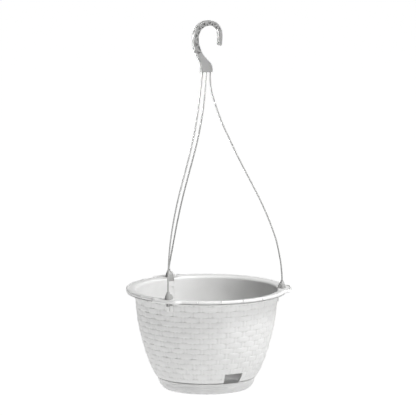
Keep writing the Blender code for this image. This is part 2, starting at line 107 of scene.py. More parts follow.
# how far one shape runs into another that it is joined to
ROOT = 1.0

# Watering window in the skirt
WINDOW_ANGLE = 270.0
WINDOW_HALF_ANGLE = 10.4
WINDOW_LOW = 20.0
WINDOW_TOP = 40.5
WINDOW_RADII = (80.0, 112.0)

# Joints of the cane-like rim: first angle, step and count for each stretch between two ears
RIM_JOINTS = ((217.4, 16.6, 7), (341.0, 12.5, 9), (99.0, 14.57, 8))
JOINT_HALF_ANGLE = 0.8
# each joint is a swelling with a narrow groove in its middle: (size, where it begins to fade, where it
# ends), in shares of the half angle
JOINT_SWELL = (0.8, 0.45, 1.0)
JOINT_GROOVE = (2.1, 0.1, 0.5)
JOINT_COLUMNS = (-1.0, -0.66, -0.33, 0.0, 0.33, 0.66, 1.0)
JOINT_CLEARANCE = 1.35

# Ears: their sides are (radius, degrees from the ear's middle)
EAR_ANGLES = (90.0, 210.0, 330.0)
EAR_TOP = 181.8
EAR_T = 4.5
EAR_R = 154.0
EAR_SIDE = ((131.0, -7.0), (144.0, -12.6), (147.6, -11.0), (152.4, -9.4))
EAR_END_ANGLES = (-7.4, -3.7, 0.0, 3.7, 7.4)
EAR_EDGE_OUT = 1.2
EAR_EDGE_IN = 3.4
EAR_EDGE_HALF_H = 0.9
EAR_EDGE_ROUND = 0.5
EAR_EDGE_Z = EAR_TOP + 0.3
LEVEL_SIDE = ((131.0, -5.5), (140.0, -7.0), (146.0, -8.2), (150.8, -7.6))
LEVEL_Z = EAR_TOP + 0.05
# where a clip stands in an ear, its slot, and the notch in the rim for its tongue
CLIP_R = 136.5
SLOT_HALF_W = 3.6
SLOT_HALF_D = 3.1
SLOT_IN = CLIP_R - SLOT_HALF_D - 1.4
SLOT_LOW = 171.0
NOTCH_IN = 121.0
NOTCH_HALF_W = 5.5
NOTCH_LOW = 169.6
# the pad under an ear, outside the wall, and the recess inside it
PAD_IN = 127.2
PAD_R = 131.0
PAD_HALF_W = 6.5
PAD_LOW = 158.0
PAD_TOP = EAR_TOP - EAR_T + ROOT
PAD_CHAMFER = 1.6
PAD_ROUND = 0.4
PAD_GROOVE_IN = 129.9
PAD_GROOVE_HALF_W = 0.8
PAD_GROOVE_TOP = 174.0
RECESS_IN = 118.0
RECESS_HALF_W = 4.7
RECESS_LOW = (125.3, 143.0)
RECESS_TOP = (127.3, 165.0)

# Woven relief: stakes stand upright, weavers run round and dive behind every second stake
STAKES = 48
FIRST_STAKE = 3.2
ROW_H = 9.9
TOP_ROW_Z = 175.1
WEAVE_TOP = 174.8
# the deepest gap, and the smooth wall behind it, both below the outermost surface
RELIEF = 1.3
BACKING = 1.7
# the smooth wall stops a little short of the relief at its two ends
SHELL_TOP = WEAVE_TOP - 0.6
SHELL_LOW = SKIRT_LOW + 0.2
# how far the relief's skin reaches into that wall, and where its even back begins
SKIN_OVERLAP = 0.3
SKIN_BACK_FROM = 55.0
# half a stake's width, in stake pitches
STAKE_HALF = 0.125
COLUMN_OFFSETS = (
    -0.5, -0.38, -0.28, -0.215, -0.165, -0.125, -0.06, 0.0, 0.06, 0.125, 0.165, 0.215, 0.28, 0.38,
)
ROW_OFFSETS = (-1.0, -0.88, -0.7, -0.35, 0.0, 0.35, 0.7, 0.88)
# a weaver's depths that change along or across it: (depth, where the change begins, where it ends), in
# stake pitches along it or half rows across it
BOW = (0.35, 0.3, 1.0)
DIVE = (0.5, 0.14, 0.62)
WORN_EDGE = (0.26, 0.7, 1.0)
# the other depths of weavers and stakes
CROWN = 0.12
TILT = 0.09
SINK = 0.05
STAKE_LEVEL = 0.42
STAKE_CROWN = 0.22
STAKE_HOLLOW = 0.3

# Saucer: (radius, height) down its outside
SAUCER_T = 2.0
SAUCER_LINE = (
    (88.4, 29.0), (88.4, 22.6), (87.6, 17.5), (86.0, 12.5), (83.4, 7.5), (80.0, 3.4), (76.5, 0.9),
    (72.5, 0.0),
)
# the floor's last rise towards the wall: (width, height)
SAUCER_FLOOR_EDGE = (2.0, 0.4)
# the collar's top: how far below it the sides stop, and where its flat lies from the outer radius
COLLAR_ROUND = 0.6
COLLAR_EDGE = (-1.3, -0.5)
COLLAR_GAP_HALF_ANGLE = 13.0
COLLAR_GAP_RADII = (78.0, 96.0)
COLLAR_GAP_LOW = 21.6
# the groove under the skirt's edge, and the step of the wall behind it
GROOVE_SPAN = (20.9, 22.9)
GROOVE_DEPTH = 3.0
GROOVE_MARGIN = 0.4
STEP_RISE = 1.5
# no other point of the inner wall lies this near to the groove
STEP_CLEARANCE = GROOVE_DEPTH + 1.6

# Hook: its outer and inner edge, from the base over the crown to the tip
HOOK_ROUND = 0.9
HOOK_TIP_STEPS = 12
HOOK_OUTER = (
    (-11.4, 575.4), (-11.5, 585.0), (-12.9, 594.2), (-17.6, 602.0), (-22.3, 610.5), (-26.2, 620.5),
    (-27.9, 631.5), (-27.6, 643.0), (-24.2, 653.5), (-16.6, 662.6), (-7.0, 667.2), (3.5, 668.5),
    (14.0, 666.8), (23.2, 660.9), (29.2, 651.5), (31.4, 641.5), (31.0, 633.0), (30.4, 624.6),
)
HOOK_INNER = (
    (11.2, 575.4), (10.4, 584.5), (7.0, 591.6), (-0.8, 599.4), (-9.0, 609.0), (-14.4, 620.0),
    (-17.6, 631.5), (-17.2, 643.0), (-13.0, 652.0), (-7.0, 656.9), (-1.2, 658.9), (4.8, 659.4),
    (11.0, 658.6), (17.0, 655.6), (22.2, 649.6), (24.3, 641.5), (24.4, 633.0), (24.2, 624.6),
)
# triangles on one side of the zig-zag, between two places on that line
HOOK_TRIANGLES = 8
POCKETS_FROM = 3.6
POCKETS_TO = 14.4
POCKET_DEPTH = 2.0
POCKET_INSET = 1.5
SOCKET_XS = (-8.0, 0.0, 8.0)
SOCKET_FLOOR = 577.4
SOCKET_TOP = 584.0
SOCKET_HALF_W = 2.9
THROAT_FRONT = -2.5

# Strands: share of the way out from the hook to the clip, and height
STRAND_R = 1.4
HEAD_R = 2.6
HEAD_Z = 579.75
HEAD_NECK_R = STRAND_R + 0.25
ROUTE_FRONT_LEFT = (
    (0.0, 579.75), (0.0, 574.0), (0.022, 561.0), (0.049, 545.0), (0.085, 527.0), (0.165, 492.0),
    (0.275, 457.0), (0.410, 424.0), (0.560, 391.0), (0.712, 357.0), (0.832, 323.0), (0.922, 289.0),
    (0.974, 257.0), (0.996, 228.0), (1.0, 205.0), (1.0, 187.4),
)
ROUTE_BACK = (
    (0.0, 579.75), (0.0, 574.0), (0.012, 561.0), (0.028, 543.0), (0.053, 524.0), (0.128, 486.0),
    (0.233, 447.0), (0.368, 408.0), (0.513, 368.0), (0.648, 329.0), (0.766, 290.0), (0.866, 252.0),
    (0.932, 226.0), (0.984, 206.0), (1.0, 196.0), (1.0, 187.4),
)
ROUTE_RIGHT = (
    (0.0, 579.75), (0.0, 570.0), (0.002, 558.0), (0.014, 544.0), (0.051, 525.0), (0.149, 488.0),
    (0.273, 452.0), (0.409, 415.0), (0.554, 378.5), (0.697, 342.0), (0.821, 305.0), (0.918, 269.0),
    (0.978, 232.0), (0.994, 213.0), (1.0, 200.0), (1.0, 187.4),
)
STRANDS = (
    ("front_left", SOCKET_XS[0], 210.0, ROUTE_FRONT_LEFT),
    ("back", SOCKET_XS[1], 90.0, ROUTE_BACK),
    ("right", SOCKET_XS[2], 330.0, ROUTE_RIGHT),
)

# Clips, in a clip's own frame: z from the ear's top, x outward
BELL_LINE = ((2.5, 14.0), (3.0, 11.5), (4.4, 8.6), (5.7, 5.2), (6.4, 2.0), (6.5, GAP))
BELL_TOP = BELL_LINE[0][1]
CLIP_BORE_R = STRAND_R + GAP
CLIP_BORE_LOW = BELL_TOP - 9.0
CLIP_BORE_CHAMFER = (0.3, 0.5)
TONGUE_BACK = (
    (-3.4, -11.7), (-7.6, -11.7), (-8.4, -10.6), (-8.6, -4.0), (-8.0, 1.5), (-6.4, 6.0), (-3.4, 9.6),
    (-1.0, 9.0),
)
TONGUE_FRONT = ((-1.0, 1.0), (-3.4, 1.0))
TONGUE_HALF_W = 5.1
TONGUE_ROUND = 0.8
LEG_IN = 0.9
LEG_OUT = 3.3
LEG_HALF_D = 2.8
LEG_TOP = 1.5
LEG_LOW = -13.0
LEG_TAPER = 1.2
BARB_OUT = 4.5
BARB_TOP = -EAR_T - GAP
BARB_T = 1.2
BARB_LOW = -9.5

# Plastics: colour, its darker tone in the flow marks (and the painted shade in the weave's gaps), roughness
HANGER_LOOK = ((0.36, 0.36, 0.355), (0.32, 0.32, 0.315), 0.40)
HOOK_LOOK = ((0.22, 0.22, 0.218), (0.19, 0.19, 0.188), 0.42)
BOWL_LOOK = ((0.70, 0.70, 0.695), (0.67, 0.67, 0.665), 0.42)
# the weave's third colour is painted shade, for the gaps between its strips where shade falls
WEAVE_LOOK = ((0.70, 0.70, 0.695), (0.66, 0.66, 0.655), (0.56, 0.56, 0.55), 0.45)
# the saucer is the bowl's plastic made a little darker all over: painted shade for its lower,
# downward-facing sides
SAUCER_LOOK = ((0.66, 0.66, 0.655), (0.63, 0.63, 0.625), 0.38)
# how far light soaks into the saucer, in metres
SAUCER_SOAK = 0.008
FLOW_STOPS = (0.34, 0.62)
# where the painted shade in the weave's gaps begins, as a share of the relief's depth
PAINTED_SHADE_FROM = 0.6
GRAIN = 0.00004
WEAVE_GRAIN = 0.00005
FLOW_RELIEF = 0.0002
CANE_LINES_PER_ROW = 5.0
CANE_LINE_BEND = 0.0009
CANE_LINE_RELIEF = 0.00011

# Camera and stage
VIEW_AZIMUTH = -30.0
VIEW_ELEVATION = 9.4
VIEW_DISTANCE = 12.0
VIEW_WIDTH = 0.749
AIM_RIGHT = 0.0029
AIM_Z = 0.3281
SENSOR = 36.0
FLOOR_Z = -1.5
FLOOR_R = 60.0
FLOOR_NEAR = 0.4
FLOOR_FAR = 0.98
FLOOR_GLOW_FROM = 2.5
FLOOR_GLOW_TO = 4.5
SKY = 0.02

# Lights: name, azimuth from the camera's, elevation, width in metres, watts
SOFTBOXES = (
    ("key_high", 60.0, 65.0, 1.0, 104.0),
    ("key_low", 45.0, 10.0, 1.6, 36.0),
    ("key", 60.0, 45.0, 1.6, 12.0),
    ("fill", -60.0, -10.0, 1.8, 16.0),
    ("edge", -95.0, -10.0, 1.8, 9.0),
)
LIGHT_DISTANCE = 3.0
LIGHT_AIM_Z = 0.15
# lights the hook alone, from the left
HOOK_LIGHT = ("hook_light", -80.0, 4.0, 0.35, 1.0)
HOOK_LIGHT_DISTANCE = 1.2
HOOK_LIGHT_SPREAD = 24.0


# ---------------------------------------------------------------- tools


def add_object(name, data):
    ob = bpy.data.objects.new(name, data)
    bpy.context.scene.collection.objects.link(ob)
    return ob


def evaluated_mesh(ob):
    bpy.context.view_layer.update()
    return bpy.data.meshes.new_from_object(ob.evaluated_get(bpy.context.evaluated_depsgraph_get()))


def settle(ob):
    """Applies the object's modifiers."""
    mesh = evaluated_mesh(ob)
    ob.modifiers.clear()
    ob.data = mesh
    return ob


def to_mesh(ob):
    """A mesh object in place of a curve, with its loose caps welded."""
    mesh = evaluated_mesh(ob)
    bm = bmesh.new()
    bm.from_mesh(mesh)
    bmesh.ops.remove_doubles(bm, verts=bm.verts, dist=WELD)
    bmesh.ops.recalc_face_normals(bm, faces=bm.faces)
    bm.to_mesh(mesh)
    bm.free()
    name, place = ob.name, ob.matrix_world.copy()
    bpy.data.objects.remove(ob, do_unlink=True)
    mesh.transform(place)
    return add_object(name, mesh)


def from_bmesh(name, bm):
    mesh = bpy.data.meshes.new(name)
    bm.to_mesh(mesh)
    bm.free()
    return add_object(name, mesh)


def joined(obs):
    """One object that holds the meshes of several."""
    bm = bmesh.new()
    for ob in obs:
        ob.data.transform(ob.matrix_world)
        bm.from_mesh(ob.data)
    name = obs[0].name
    for ob in obs:
        bpy.data.objects.remove(ob, do_unlink=True)
    return from_bmesh(name, bm)


def boolean(ob, other, operation):
    """Cuts or joins at once, and removes the tool."""
    mod = ob.modifiers.new("boolean", "BOOLEAN")
    mod.operation = operation
    mod.object = other
    mod.solver = "EXACT"
    settle(ob)
    bpy.data.objects.remove(other, do_unlink=True)
    return ob


def rounded(ob, width, segments=2, angle=30.0):
    mod = ob.modifiers.new("round", "BEVEL")
    mod.width = width * MM
    mod.segments = segments
    mod.limit_method = "ANGLE"
    mod.angle_limit = radians(angle)
    return settle(ob)


def shade(ob, angle=40.0):
    ob.data.shade_smooth()
    ob.data.set_sharp_from_angle(angle=radians(angle))
    return ob


def dressed(ob, mat, angle=40.0):
    """Gives a finished piece its one material and its smooth shading."""
    ob.data.materials.clear()
    ob.data.materials.append(mat)
    return shade(ob, angle)


def turned(name, profile, steps=TURN_STEPS):
    """A profile of (radius, height), from axis to axis, turned round Z."""
    bm = bmesh.new()
    verts = [bm.verts.new((r * MM, 0.0, z * MM)) for r, z in profile]
    for a, b in zip(verts, verts[1:]):
        bm.edges.new((a, b))
    ob = from_bmesh(name, bm)
    screw = ob.modifiers.new("turn", "SCREW")
    screw.axis = "Z"
    screw.steps = steps
    screw.render_steps = steps
    screw.use_merge_vertices = True
    screw.merge_threshold = WELD
    return settle(ob)


def outline(name, points, half_height, edge=0.0):
    """A flat closed outline in X-Y, filled, with thickness both ways along Z and rounded edges."""
    curve = bpy.data.curves.new(name, "CURVE")
    curve.dimensions = "2D"
    curve.fill_mode = "BOTH"
    curve.extrude = (half_height - edge) * MM
    curve.bevel_depth = edge * MM
    curve.offset = -edge * MM
    curve.bevel_resolution = 3
    spline = curve.splines.new("POLY")
    spline.points.add(len(points) - 1)
    for point, (x, y) in zip(spline.points, points):
        point.co = (x * MM, y * MM, 0.0, 1.0)
    spline.use_cyclic_u = True
    return add_object(name, curve)


def slab(name, points, low, high):
    ob = outline(name, points, (high - low) / 2)
    ob.location = (0.0, 0.0, (low + high) / 2 * MM)
    return to_mesh(ob)


def upright(name, section, half_width):
    """A section in X-Z, with thickness along Y."""
    ob = outline(name, section, half_width)
    ob.rotation_euler = (radians(90.0), 0.0, 0.0)
    return to_mesh(ob)


def block(name, low, high):
    """A box between two corners."""
    bm = bmesh.new()
    bmesh.ops.create_cube(bm, size=1.0)
    bmesh.ops.scale(bm, vec=[(b - a) * MM for a, b in zip(low, high)], verts=bm.verts)
    bmesh.ops.translate(bm, vec=[(a + b) / 2 * MM for a, b in zip(low, high)], verts=bm.verts)
    return from_bmesh(name, bm)


def drum(name, radius, low, high, sides=32):
    """An upright cylinder on the Z axis."""
    bm = bmesh.new()
    r, depth = radius * MM, (high - low) * MM
    bmesh.ops.create_cone(bm, cap_ends=True, segments=sides, radius1=r, radius2=r, depth=depth)
    bmesh.ops.translate(bm, vec=(0.0, 0.0, (low + high) / 2 * MM), verts=bm.verts)
    return from_bmesh(name, bm)


def about_z(ob, degrees):
    """Turns an object about the Z axis."""
    ob.matrix_world = Matrix.Rotation(radians(degrees), 4, "Z") @ ob.matrix_world
    return ob


def at_each_ear(make):
    """One object with a copy of what make returns at each ear."""
    return joined([about_z(make(), angle) for angle in EAR_ANGLES])


def polar(radius, degrees):
    return radius * cos(radians(degrees)), radius * sin(radians(degrees))


def sector(name, radii, half_angle, low, high):
    """A cutter between two radii and two heights, spread to each side of the watering window's middle."""
    near, far = radii
    a = half_angle
    corners = [polar(r, WINDOW_ANGLE + side) for r, side in ((near, -a), (near, a), (far, a), (far, -a))]
    return slab(name, corners, low, high)


def turn_between(angle, other):
    """The shortest turn from other to angle, in degrees."""
    return (angle - other + 180.0) % 360.0 - 180.0


def smooth(points, per_span):
    """Points of a smooth curve through the given ones (Catmull-Rom), ends included."""
    padded = [points[0], *points, points[-1]]
    found = []
    for i in range(1, len(padded) - 2):
        a, b, c, d = (Vector(padded[i + k]) for k in (-1, 0, 1, 2))
        for step in range(per_span):
            t = step / per_span
            square = (2 * a - 5 * b + 4 * c - d) * t * t
            cube = (3 * b - a - 3 * c + d) * t**3
            found.append(0.5 * (2 * b + (c - a) * t + square + cube))
    found.append(Vector(points[-1]))
    return found


def ease(low, high, x):
    """0 below low and 1 above high, with a smooth step between."""
    t = np.clip((x - low) / (high - low), 0.0, 1.0)
    return t * t * (3.0 - 2.0 * t)


WALL_CURVE = np.array([tuple(p) for p in smooth(WALL_LINE[::-1], 12)])


def wall_radius(height):
    """The radius of the bowl's outermost surface at a height."""
    return np.interp(height, WALL_CURVE[:, 1], WALL_CURVE[:, 0])


# ---------------------------------------------------------------- materials


def nodes_of(name, roughness, specular=0.5):
    mat = bpy.data.materials.new(name)
    mat.use_nodes = True
    tree = mat.node_tree
    shader = tree.nodes["Principled BSDF"]
    shader.inputs["Roughness"].default_value = roughness
    shader.inputs["Specular IOR Level"].default_value = specular
    return mat, tree, shader


def noise_node(tree, coords, scale, detail=3.0, roughness=0.5):
    node = tree.nodes.new("ShaderNodeTexNoise")
    node.inputs["Scale"].default_value = scale
    node.inputs["Detail"].default_value = detail
    node.inputs["Roughness"].default_value = roughness
    tree.links.new(coords, node.inputs["Vector"])
    return node.outputs["Fac"]


def ramp_node(tree, value, stops):
    """A colour ramp with grey or coloured stops at places from 0 to 1."""
    node = tree.nodes.new("ShaderNodeValToRGB")
    ramp = node.color_ramp
    for i, (place, colour) in enumerate(stops):
        element = ramp.elements[i] if i < 2 else ramp.elements.new(place)
        element.position = place
        element.color = (*colour, 1.0)
    tree.links.new(value, node.inputs["Fac"])
    return node.outputs["Color"]


def math_node(tree, operation, a, b=None):
    node = tree.nodes.new("ShaderNodeMath")
    node.operation = operation
    for socket, value in zip(node.inputs, (a, b)):
        if isinstance(value, (int, float)):
            socket.default_value = value
        elif value is not None:
            tree.links.new(value, socket)
    return node.outputs["Value"]


def bump_node(tree, height, distance, strength=1.0, normal=None):
    node = tree.nodes.new("ShaderNodeBump")
    node.inputs["Distance"].default_value = distance
    node.inputs["Strength"].default_value = strength
    tree.links.new(height, node.inputs["Height"])
    if normal is not None:
        tree.links.new(normal, node.inputs["Normal"])
    return node.outputs["Normal"]


def range_node(tree, value, low, high):
    node = tree.nodes.new("ShaderNodeMapRange")
    node.inputs["To Min"].default_value = low
    node.inputs["To Max"].default_value = high
    tree.links.new(value, node.inputs["Value"])
    return node.outputs["Result"]


def flow_marks(tree, coords, light, shadow, scale, roughness):
    """Faint clouds between two colours, and the noise that they follow."""
    flow = noise_node(tree, coords, scale, 4.0, roughness)
    return ramp_node(tree, flow, tuple(zip(FLOW_STOPS, (shadow, light)))), flow


def uneven_gloss(tree, coords, shader, scale, low, high):
    smears = noise_node(tree, coords, scale)
    tree.links.new(range_node(tree, smears, low, high), shader.inputs["Roughness"])


def moulded_plastic(name, light, shadow, roughness, soak=0.0):
    """Satin moulded plastic: faint flow marks in its colour, uneven gloss and a fine mould grain.

    Light soaks into it by a depth in metres, if one is given.
    """
    mat, tree, shader = nodes_of(name, roughness)
    if soak:
        shader.inputs["Subsurface Weight"].default_value = 1.0
        shader.inputs["Subsurface Radius"].default_value = (1.0, 1.0, 1.0)
        shader.inputs["Subsurface Scale"].default_value = soak
    coords = tree.nodes.new("ShaderNodeTexCoord").outputs["Object"]
    colour, flow = flow_marks(tree, coords, light, shadow, 26.0, 0.55)
    tree.links.new(colour, shader.inputs["Base Color"])
    uneven_gloss(tree, coords, shader, 95.0, roughness - 0.09, roughness + 0.09)
    fine = bump_node(tree, noise_node(tree, coords, 1500.0, 2.0), GRAIN, 0.6)
    tree.links.new(bump_node(tree, flow, FLOW_RELIEF, 0.35, fine), shader.inputs["Normal"])
    return mat


def cane_lines(tree, coords):
    """Waves up the wall, bent a little by noise."""
    split = tree.nodes.new("ShaderNodeSeparateXYZ")
    tree.links.new(coords, split.inputs["Vector"])
    bend = range_node(tree, noise_node(tree, coords, 60.0, 2.0), -CANE_LINE_BEND, CANE_LINE_BEND)
    height = math_node(tree, "ADD", split.outputs["Z"], bend)
    turns = math_node(tree, "MULTIPLY", height, 2.0 * pi * CANE_LINES_PER_ROW / (ROW_H * MM))
    return math_node(tree, "SINE", turns)


def woven_plastic(name, light, shadow, pit, roughness):
    """The woven relief's plastic: fine cane lines along the strips, and painted shade that darkens the gaps.
    """
    mat, tree, shader = nodes_of(name, roughness)
    coords = tree.nodes.new("ShaderNodeTexCoord").outputs["Object"]
    depth = tree.nodes.new("ShaderNodeAttribute")
    depth.attribute_name = "depth"
    unshaded, _ = flow_marks(tree, coords, light, shadow, 40.0, 0.6)
    mix = tree.nodes.new("ShaderNodeMix")
    mix.data_type = "RGBA"
    # painted shade: the colour turns darker towards the pit colour where the relief lies deepest
    gap = ramp_node(tree, depth.outputs["Fac"], ((PAINTED_SHADE_FROM, (0.0, 0.0, 0.0)), (1.0, (1.0, 1.0, 1.0))))
    tree.links.new(gap, mix.inputs["Factor"])
    tree.links.new(unshaded, mix.inputs["A"])
    mix.inputs["B"].default_value = (*pit, 1.0)
    tree.links.new(mix.outputs["Result"], shader.inputs["Base Color"])
    uneven_gloss(tree, coords, shader, 120.0, roughness - 0.08, roughness + 0.1)
    fine = bump_node(tree, noise_node(tree, coords, 1300.0, 2.0), WEAVE_GRAIN, 0.6)
    lines = bump_node(tree, cane_lines(tree, coords), CANE_LINE_RELIEF, 0.8, fine)
    tree.links.new(lines, shader.inputs["Normal"])
    return mat


# ---------------------------------------------------------------- strands


def strand_path(socket_x, ear_angle, route):
    out_x, out_y = polar(CLIP_R, ear_angle)
    return smooth([(socket_x + (out_x - socket_x) * u, out_y * u, z) for u, z in route], 7)


def make_strand(name, socket_x, ear_angle, route, mat):
    """A thin moulded strand on its route, with the head that holds it in the hook."""
    path = strand_path(socket_x, ear_angle, route)
    curve = bpy.data.curves.new(f"strand_{name}_line", "CURVE")
    curve.dimensions = "3D"
    curve.bevel_depth = STRAND_R * MM
    curve.bevel_resolution = 4
    curve.use_fill_caps = True
    spline = curve.splines.new("POLY")
    spline.points.add(len(path) - 1)
    for point, place in zip(spline.points, path):
        point.co = (*(place * MM), 1.0)
    curve.materials.append(mat)
    line = add_object(curve.name, curve)

    ball = [polar(HEAD_R, a) for a in range(75, -61, -15)]
    profile = [(0.0, HEAD_R), *ball, (HEAD_NECK_R, -HEAD_R), (0.0, -HEAD_R)]
    head = turned(f"strand_{name}_head", profile, steps=32)
    head.data.transform(Matrix.Translation((socket_x * MM, 0.0, HEAD_Z * MM)))
    dressed(head, mat)
    for piece in (line, head):
        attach(piece, "basket")
        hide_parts(f"strand_{name}")


# ---------------------------------------------------------------- pot


def rim_joints():
    return [(start + step * n) % 360.0 for start, step, count in RIM_JOINTS for n in range(count)]


def shell_angles():
    """Even columns round the bowl, with a cluster of closer ones at each joint of the rim."""
    joints = rim_joints()
    even = [360.0 * n / TURN_STEPS for n in range(TURN_STEPS)]
    reach = JOINT_CLEARANCE * JOINT_HALF_ANGLE
    clear = [a for a in even if all(abs(turn_between(a, j)) > reach for j in joints)]
    cluster = [share * JOINT_HALF_ANGLE for share in JOINT_COLUMNS]
    near = [(j + offset) % 360.0 for j in joints for offset in cluster]
    return np.array(sorted(clear + near))


def bead_points():
    """The bead's section from just behind its top over to its outer side, as points of the profile."""
    found = []
    for degrees in range(100, -41, -20):
        c, s = cos(radians(degrees)), sin(radians(degrees))
        across = LIP_HALF_T * abs(c) ** LIP_FULLNESS * (1 if c > 0 else -1)
        up = LIP_H / 2 * abs(s) ** LIP_FULLNESS * (1 if s > 0 else -1)
        found.append((LIP_MIDDLE[0] + across, LIP_MIDDLE[1] + up, 1 if degrees <= 90 else 0))
    return found


def shell_profile():
    """The bowl's section without the relief: (radius, height, share of the rim joints' swelling)."""
    floor_r = wall_radius(FLOOR_TOP) - WALL
    skirt_r = wall_radius(FLOOR_UNDER) - WALL
    inner_z = np.linspace(*INNER_WALL_SPAN, 16)
    outer_z = np.linspace(SHELL_TOP, SHELL_LOW, 20)

    inside = [(CENTRE_HOLE_R, FLOOR_TOP)]
    inside += [(floor_r + inward, FLOOR_TOP + up) for inward, up in FLOOR_FILLET]
    inside += [(wall_radius(z) - WALL, z) for z in inner_z]
    inside += [tuple(p) for p in smooth(FLARE, 4)]

    outside = [(LIP_MIDDLE[0] + across, LIP_MIDDLE[1] + up) for across, up in UNDER_LIP]
    outside += [tuple(p) for p in smooth(UNDER_FLARE, 3)]
    outside += UNDER_GROOVE
    outside += [(wall_radius(z) - BACKING, z) for z in outer_z]
    outside += [(wall_radius(z) - WALL, z) for z in (SHELL_LOW, *SKIRT_INNER_ZS)]
    outside += [(skirt_r + inward, FLOOR_UNDER + up) for inward, up in UNDER_FILLET]
    outside.append((CENTRE_HOLE_R, FLOOR_UNDER))
    return [(r, z, 0) for r, z in inside] + bead_points() + [(r, z, 0) for r, z in outside]


def ring_grid(name, angles, radii, heights):
    """A closed ring from radii and heights, both rows by columns; the last row joins the first."""
    rows, columns = radii.shape
    turn = np.radians(angles)[None, :]
    points = np.stack([radii * np.cos(turn), radii * np.sin(turn), heights], axis=2).reshape(-1, 3) * MM
    index = np.arange(rows * columns).reshape(rows, columns)
    beside = np.roll(index, -1, axis=1)
    below, diagonal = np.roll(index, -1, axis=0), np.roll(beside, -1, axis=0)
    quads = np.stack([index, below, diagonal, beside], axis=2).reshape(-1, 4)
    mesh = bpy.data.meshes.new(name)
    mesh.from_pydata(points.tolist(), [], quads.tolist())
    bm = bmesh.new()
    bm.from_mesh(mesh)
    bmesh.ops.recalc_face_normals(bm, faces=bm.faces)
    bm.to_mesh(mesh)
    bm.free()
    return add_object(name, mesh)


def turned_shell():
    """The profile carried round the bowl, swelling at the joints of the rim."""
    angles = shell_angles()
    profile = shell_profile()
    off = np.abs(turn_between(angles[:, None], np.array(rim_joints())[None, :])).min(axis=1)
    swell = JOINT_SWELL[0] * (1.0 - ease(*JOINT_SWELL[1:], off / JOINT_HALF_ANGLE))
    swell -= JOINT_GROOVE[0] * (1.0 - ease(*JOINT_GROOVE[1:], off / JOINT_HALF_ANGLE))
    radii = np.array([[r] * len(angles) for r, _, _ in profile])
    heights = np.array([[z] * len(angles) for _, z, _ in profile])
    for i, (r, z, share) in enumerate(profile):
        if share:
            away = Vector((r - LIP_MIDDLE[0], z - LIP_MIDDLE[1])).normalized()
            radii[i] += away.x * swell
            heights[i] += away.y * swell
    return ring_grid("pot_shell", angles, radii, heights)


def mirrored(side):
    """The same (radius, angle) points on an ear's other side, in reverse order."""
    return [(r, -a) for r, a in reversed(side)]


def ear_plan(grow):
    """An ear's outline from above, with its corners that much further out."""
    end = [(EAR_R, a) for a in EAR_END_ANGLES]
    corners = [polar(r + grow, a) for r, a in (*EAR_SIDE, *end, *mirrored(EAR_SIDE))]
    return [tuple(p) for p in smooth(corners, 3)]


def make_ear():
    """An ear's plate, its outer edge rounded like the rim's cane."""
    bm = bmesh.new()
    half = EAR_T / 2
    loops = []
    for degrees in range(-90, 91, 15):
        plan = ear_plan(half * (cos(radians(degrees)) - 1.0))
        z = EAR_TOP - half + half * sin(radians(degrees))
        loops.append([bm.verts.new((x * MM, y * MM, z * MM)) for x, y in plan])
    for low, high in zip(loops, loops[1:]):
        for i in range(len(low)):
            bm.faces.new((low[i - 1], low[i], high[i], high[i - 1]))
    bm.faces.new(loops[0])
    bm.faces.new(loops[-1])
    bmesh.ops.recalc_face_normals(bm, faces=bm.faces)
    return from_bmesh("ear", bm)


def make_ear_edge():
    """The raised edge round an ear, which carries the rim's cane on."""
    outer = outline("ear_edge", ear_plan(-EAR_EDGE_OUT), EAR_EDGE_HALF_H, EAR_EDGE_ROUND)
    outer.location = (0.0, 0.0, EAR_EDGE_Z * MM)
    outer = to_mesh(outer)
    inside = slab("inside", ear_plan(-EAR_EDGE_IN), EAR_TOP - OVER, EAR_TOP + 2 * OVER)
    return boolean(outer, inside, "DIFFERENCE")


def make_level():
    """Levels the rim's bead where it crosses an ear."""
    corners = [polar(r, a) for r, a in (*LEVEL_SIDE, *mirrored(LEVEL_SIDE))]
    return slab("level", corners, LEVEL_Z, RIM_TOP + OVER)


def make_pad():
    """The low pad on the outside of the wall under an ear."""
    section = [
        (PAD_IN, PAD_TOP),
        (PAD_IN, PAD_LOW),
        (PAD_R - PAD_CHAMFER, PAD_LOW),
        (PAD_R, PAD_LOW + PAD_CHAMFER),
        (PAD_R, PAD_TOP),
    ]
    return rounded(upright("pad", section, PAD_HALF_W), PAD_ROUND)


def make_recess():
    """The shallow recess in the bowl's inner wall below a clip's tongue."""
    section = [(RECESS_IN, RECESS_LOW[1]), RECESS_LOW, RECESS_TOP, (RECESS_IN, RECESS_TOP[1])]
    return upright("recess", section, RECESS_HALF_W)


def make_notch():
    """The notch in the rim that the tongue drops into."""
    low = (NOTCH_IN, -NOTCH_HALF_W, NOTCH_LOW)
    return block("notch", low, (CLIP_R - SLOT_HALF_D, NOTCH_HALF_W, RIM_TOP + OVER))


def make_slot():
    """The slot through an ear for a clip's legs."""
    low = (SLOT_IN, -SLOT_HALF_W, SLOT_LOW)
    return block("slot", low, (CLIP_R + SLOT_HALF_D, SLOT_HALF_W, RIM_TOP + OVER))


def make_groove():
    """The upright groove down the middle of a pad."""
    low = (PAD_GROOVE_IN, -PAD_GROOVE_HALF_W, PAD_LOW - OVER)
    return block("groove", low, (PAD_R + OVER, PAD_GROOVE_HALF_W, PAD_GROOVE_TOP))


def drain_cutter():
    """Drums for the two rings of drain holes in the floor."""
    holes = []
    for ring_r, count in DRAIN_RINGS:
        for n in range(count):
            hole = drum("drains", DRAIN_R, FLOOR_UNDER - OVER, FLOOR_TOP + OVER)
            hole.location = (ring_r * MM, 0.0, 0.0)
            bpy.context.view_layer.update()
            holes.append(about_z(hole, 360.0 * n / count + DRAIN_TURN))
    return joined(holes)


def stop_ribs():
    """Ribs under the floor that the saucer's collar stops against."""
    near, far = STOP_RIB_RADII
    low = (near, -STOP_RIB_HALF_T, COLLAR_TOP + GAP)
    high = (far, STOP_RIB_HALF_T, FLOOR_UNDER + ROOT)
    return joined([about_z(block("ribs", low, high), 360.0 / STOP_RIBS * n) for n in range(STOP_RIBS)])


